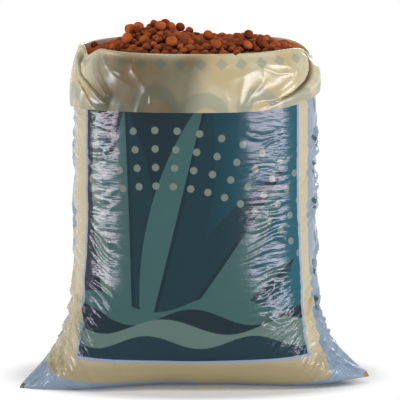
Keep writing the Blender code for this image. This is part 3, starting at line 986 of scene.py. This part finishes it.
def fillCore():
    count = core["columns"]
    places = np.arange(count) / count
    edge = tube["rimHeight"] - heap["edgeDrop"] - heap["smallest"] * core["edgeDepth"]
    curve = np.linspace(0, math.pi / 2, core["rows"], endpoint=False)
    heights = list(tube["baseRadius"] * (1 - np.cos(curve)))
    heights += list(np.linspace(tube["baseRadius"], edge, core["rows"]))
    rows = []
    for z in heights:
        points, out = section(z, places)
        inner = points - out * core["inset"]
        share = np.abs(inner[:, 0]) / halfWidth(z)
        inner[:, 0] -= np.sign(inner[:, 0]) * core["earRetreat"] * earShare(z) * share ** 3
        rows.append(np.column_stack([inner, np.full(count, max(z, core["footHeight"]))]))
    points = list(settle(np.array(rows)).reshape(-1, 3))
    brim = points[-count:]
    for share in core["rings"]:
        points += [coreTop(x * share, y * share) for x, y, _ in brim]
    rings = len(points) // count
    faces = []
    for ring in range(rings - 1):
        faces += joinRings(ring * count, (ring + 1) * count, count)
    last = (rings - 1) * count
    faces += [(last + i, last + (i + 1) % count, len(points)) for i in range(count)]
    points.append(coreTop(0.0, 0.0))
    faces.append(tuple(range(count - 1, -1, -1)))
    return np.array(points), faces


def tonedMesh(name, points, faces, tones):
    made = addMesh(name, points, faces)
    layer = made.data.attributes.new("pebbleTone", "FLOAT", "POINT")
    layer.data.foreach_set("value", tones)
    return made


def makeHeap():
    outer = packedPebbles()
    chance = np.random.default_rng(31)
    under = outer.copy()
    aside = heap["secondLayerShift"]
    under[:, :2] += chance.uniform(-aside, aside, (len(under), 2))
    share = mouthShare(under[:, 0], under[:, 1], under[:, 3] + heap["wallSlack"])
    under[:, :2] /= np.maximum(1.0, share)[:, None]
    under[:, 2] -= heap["secondLayerDrop"]
    one, two = lumpyPebbles(outer, 3, 61), lumpyPebbles(under, 2, 62)
    inner, innerFaces = fillCore()
    points = np.concatenate([one[0], two[0], inner])
    # painted shade: the second layer and the core get tones below 0, which the clay turns nearly black as shade
    # between the pebbles
    tones = np.concatenate([one[2], two[2] - heap["gapShade"], np.full(len(inner), -1.0)])
    faces = [tuple(f) for f in one[1]] + [tuple(f + len(one[0])) for f in two[1]]
    faces += [tuple(corner + len(one[0]) + len(two[0]) for corner in f) for f in innerFaces]
    return tonedMesh("heap_of_pebbles", points, faces, tones)


def makeLoose():
    balls = []
    names = sorted(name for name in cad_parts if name.startswith("pebble_") and name != "pebble_fill")
    for name in names:
        low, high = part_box(name)
        middle = (low + high) / 2
        balls.append((*middle, max(high - low) / 2))
    points, faces, tones = lumpyPebbles(np.array(balls), 3, 63)
    made = tonedMesh("loose_pebbles", points, [tuple(f) for f in faces], tones)
    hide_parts(*names)
    return made


clayLook = {
    "gapPaintedShade": tone(30, 10, 4),
    "dark": tone(100, 46, 20),
    "middle": tone(184, 94, 46),
    "pale": tone(210, 128, 78),
    "dust": tone(140, 110, 90),
    "roughness": 0.86,
    "shine": 0.16,
}


def fireClay():
    clay = Finish("fired_clay")
    object3d = clay.node("ShaderNodeTexCoord").outputs["Object"]
    each = clay.node("ShaderNodeAttribute", attribute_name="pebbleTone").outputs["Fac"]
    cloud = clay.noise(object3d, 160.0, 4.0, 0.6)
    burnt = clay.line(each, 0.7, clay.times(cloud, 0.6))
    base = clay.mix(clay.rise(burnt, 0.15, 1.1), clayLook["dark"], clayLook["middle"])
    base = clay.mix(clay.times(clay.rise(cloud, 0.55, 0.8), 0.5), base, clayLook["pale"])
    # painted shade: tones below 0 turn to the near-black gap colour
    base = clay.mix(clay.rise(each, -0.1, -0.9), base, clayLook["gapPaintedShade"])
    specks = clay.noise(object3d, 900.0, 2.0, 0.7)
    base = clay.mix(clay.times(clay.rise(specks, 0.64, 0.74), 0.6), base, clayLook["dark"])
    base = clay.mix(clay.times(clay.rise(specks, 0.33, 0.27), 0.35), base, clayLook["dust"])
    rough = clay.noise(object3d, 700.0, 4.0, 0.65)
    coarse = clay.bump(clay.noise(object3d, 220.0, 2.0), 0.0012, 0.5)
    clay.surface(base, clay.bump(rough, 0.0004, 0.6, coarse), clayLook["roughness"], clayLook["shine"])
    return clay.material


clayFinish = fireClay()
pebbleHeap = makeHeap()
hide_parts("pebble_fill")
loosePebbles = makeLoose()
for piece in (pebbleHeap, loosePebbles):
    piece.data.materials.append(clayFinish)
    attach(piece, "root")
print("pebbles made:", len(pebbleHeap.data.polygons), "and", len(loosePebbles.data.polygons), "faces")

# ---- floor, light and camera
studio = {
    "floorColour": (0.92, 0.92, 0.92, 1.0),
    "floorSize": 8.0,
    "worldStrength": 0.12,
    "nearFloor": (0.228, 0.295),
    "lamps": [
        # name, place, size (across, up), power, colour
        ("left_window", (-2.46, -0.72, 0.26), (1.55, 0.40), 44, (1.0, 0.98, 1.0)),
        ("right_window", (2.08, -1.55, 0.26), (1.95, 0.41), 57, (1.0, 0.98, 1.0)),
        ("top_window", (-0.3, -0.9, 2.6), (1.2, 1.0), 24, (1.0, 1.0, 1.0)),
        ("back_window", (0.9, 2.4, 1.5), (1.2, 1.2), 30, (1.0, 1.0, 1.0)),
    ],
}


def seenRay(tree):
    # 1 for what is seen straight, in gloss or through glass, 0 for the light that falls on things
    ray = tree.nodes.new("ShaderNodeLightPath")
    seen = ray.outputs["Is Camera Ray"]
    for name in ("Is Glossy Ray", "Is Transmission Ray"):
        either = tree.nodes.new("ShaderNodeMath")
        either.operation = "MAXIMUM"
        tree.links.new(seen, either.inputs[0])
        tree.links.new(ray.outputs[name], either.inputs[1])
        seen = either.outputs[0]
    return seen


def makeFloor():
    size = studio["floorSize"]
    corners = [(-size, -size, 0), (size, -size, 0), (size, size, 0), (-size, size, 0)]
    floor = addMesh("studio_floor", corners, [(0, 1, 2, 3)])
    paint = Finish("pale_floor")
    paint.shader.inputs["Base Color"].default_value = studio["floorColour"]
    paint.shader.inputs["Roughness"].default_value = 0.9
    x, y = paint.split(paint.node("ShaderNodeTexCoord").outputs["Object"])
    reach = paint.length(x, paint.times(y, 1.5))
    far = paint.times(paint.rise(reach, *studio["nearFloor"]), seenRay(paint.tree))
    white = paint.node("ShaderNodeEmission")
    mixed = paint.node("ShaderNodeMixShader")
    paint.plug(mixed.inputs[0], far)
    paint.plug(mixed.inputs[1], paint.shader.outputs[0])
    paint.plug(mixed.inputs[2], white.outputs[0])
    paint.plug(paint.tree.nodes["Material Output"].inputs["Surface"], mixed.outputs[0])
    floor.data.materials.append(paint.material)


def makeWorld():
    world = bpy.data.worlds.new("studio")
    bpy.context.scene.world = world
    world.use_nodes = True
    tree = world.node_tree
    room = tree.nodes["Background"]
    room.inputs["Color"].default_value = (1, 1, 1, 1)
    room.inputs["Strength"].default_value = studio["worldStrength"]
    white = tree.nodes.new("ShaderNodeBackground")
    white.inputs["Color"].default_value = (1, 1, 1, 1)
    mixed = tree.nodes.new("ShaderNodeMixShader")
    tree.links.new(seenRay(tree), mixed.inputs[0])
    tree.links.new(room.outputs[0], mixed.inputs[1])
    tree.links.new(white.outputs[0], mixed.inputs[2])
    tree.links.new(mixed.outputs[0], tree.nodes["World Output"].inputs["Surface"])


def makeLamps():
    for name, place, (across, up), power, colour in studio["lamps"]:
        light = bpy.data.lights.new(name, "AREA")
        light.shape = "RECTANGLE"
        light.size, light.size_y = across, up
        light.energy = power
        light.color = colour
        lamp = bpy.data.objects.new(name, light)
        lamp.location = place
        lamp.visible_camera = False
        lamp.rotation_euler = (Vector((0, 0, 0.25)) - Vector(place)).to_track_quat("-Z", "Y").to_euler()
        bpy.context.scene.collection.objects.link(lamp)


cameraView = dict(distance=3.5, rise=7.5, target=(0, 0, 0.25), lens=217.4, shift=(0.0125, 0.0118))


def makeCamera():
    data = bpy.data.cameras.new("photo_view")
    data.sensor_width = 36
    data.lens = cameraView["lens"]
    data.shift_x, data.shift_y = cameraView["shift"]
    camera = bpy.data.objects.new("photo_view", data)
    lift = math.radians(cameraView["rise"])
    x, y, z = cameraView["target"]
    reach = cameraView["distance"]
    camera.location = (x, y - reach * math.cos(lift), z + reach * math.sin(lift))
    camera.rotation_euler = (math.radians(90) - lift, 0, 0)
    bpy.context.scene.collection.objects.link(camera)
    bpy.context.scene.camera = camera


makeFloor()
makeWorld()
makeLamps()
makeCamera()
bpy.context.scene.view_settings.view_transform = "Standard"
print("studio made")
